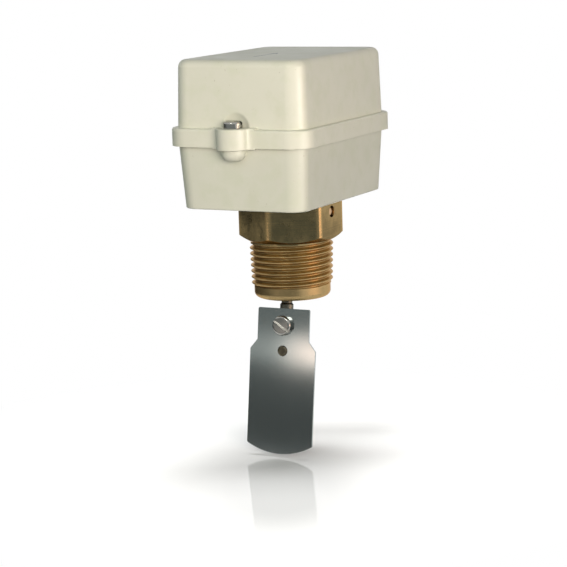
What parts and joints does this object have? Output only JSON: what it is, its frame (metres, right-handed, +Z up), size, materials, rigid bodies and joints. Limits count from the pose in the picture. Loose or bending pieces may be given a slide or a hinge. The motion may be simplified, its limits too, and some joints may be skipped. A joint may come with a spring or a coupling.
{
  "type": "pipe flow switch",
  "caption": "Paddle flow switch for a pipe: moulded housing with a lift-off cover on a hexagonal brass body with a tapered pipe thread and a swinging paddle.",
  "frame": {"origin": "on the pipe thread's axis, at the underside of the brass hexagon", "axes": "+Z up along the thread towards the housing, +Y the direction of flow and the side of the cable gland, X along the paddle's pivot pin"},
  "size_m": [0.0592, 0.1018, 0.1572],
  "materials": {
    "ivory_plastic": "semi-gloss moulded ABS",
    "brass": "machined, dull",
    "bellows_bronze": "formed bronze",
    "steel": "turned stainless",
    "paddle_sheet": "rolled stainless sheet",
    "plated_steel": "bright zinc",
    "copper_pin": "aged, domed",
    "zinc_sheet": "zinc-plated sheet",
    "earth_brass": "bright",
    "switch_black": "matt phenolic",
    "switch_red": "plain red button",
    "rubber": "soft seal",
    "ptfe": "low-friction washer",
    "gland_grey": "grey polyamide"
  },
  "bodies": {
    "housing": {"base_housing": "ivory_plastic", "brass_body": "brass", "body_gasket": "rubber", "body_locknut": "brass", "pivot_pin": "steel", "pivot_washers": "ptfe", "bellows_seat": "bellows_bronze", "bellows": "bellows_bronze", "chassis_bracket": "zinc_sheet", "chassis_screws": "plated_steel", "earth_clamp": "earth_brass", "earth_screw": "earth_brass", "microswitch_case": "switch_black", "microswitch_screws": "plated_steel", "microswitch_nuts": "plated_steel", "terminal_plates": "earth_brass", "terminal_screws": "plated_steel", "range_spring": "plated_steel", "gland_body": "gland_grey", "gland_locknut": "gland_grey", "gland_seal": "rubber", "gland_nut": "gland_grey"},
    "arm": {"paddle_arm": "steel", "paddle": "paddle_sheet", "paddle_screw": "plated_steel", "locating_pin": "copper_pin", "bellows_cap": "bellows_bronze", "trip_lever": "zinc_sheet", "lever_nut": "plated_steel"},
    "cover": {"cover": "ivory_plastic", "cover_gasket": "rubber", "cover_screws": "plated_steel"},
    "switch_leaf": {"microswitch_leaf": "zinc_sheet"},
    "switch_plunger": {"microswitch_plunger": "switch_red"},
    "range_screw": {"range_screw": "plated_steel", "range_clip": "plated_steel"},
    "range_nut": {"range_nut": "plated_steel"}
  },
  "joints": [
    {"name": "paddle_swing", "type": "hinge", "parent": "housing", "child": "arm", "pos_m": [0, 0, 0.0113], "axis": [1, 0, 0], "range_deg": [0, 14], "stiffness_Nm_per_rad": 0.5, "springref_deg": -14.32, "deforming": ["bellows", "range_spring"]},
    {"name": "cover_lift", "type": "slide", "parent": "housing", "child": "cover", "axis": [0, 0, 1], "range_m": [0, 0.06]},
    {"name": "leaf_swing", "type": "hinge", "parent": "housing", "child": "switch_leaf", "pos_m": [0, -0.035, 0.0325], "axis": [-1, 0, 0], "range_deg": [0, 9]},
    {"name": "plunger_travel", "type": "slide", "parent": "housing", "child": "switch_plunger", "axis": [0, 0, -1], "range_m": [0, 0.0009]},
    {"name": "range_turn", "type": "hinge", "parent": "housing", "child": "range_screw", "pos_m": [0, 0.0134, 0.0476], "axis": [0, 0, 1], "range_deg": [-1081, 1081]},
    {"name": "range_nut_travel", "type": "slide", "parent": "housing", "child": "range_nut", "axis": [0, 0, 1], "range_m": [-0.0021, 0.0021], "deforming": ["range_spring"]}
  ],
  "couplings": [
    {"joint": "leaf_swing", "follows": "paddle_swing", "ratio": 0.62},
    {"joint": "plunger_travel", "follows": "paddle_swing", "m_per_rad": 0.0034},
    {"joint": "range_turn", "follows": "range_nut_travel", "rad_per_m": -8976}
  ]
}
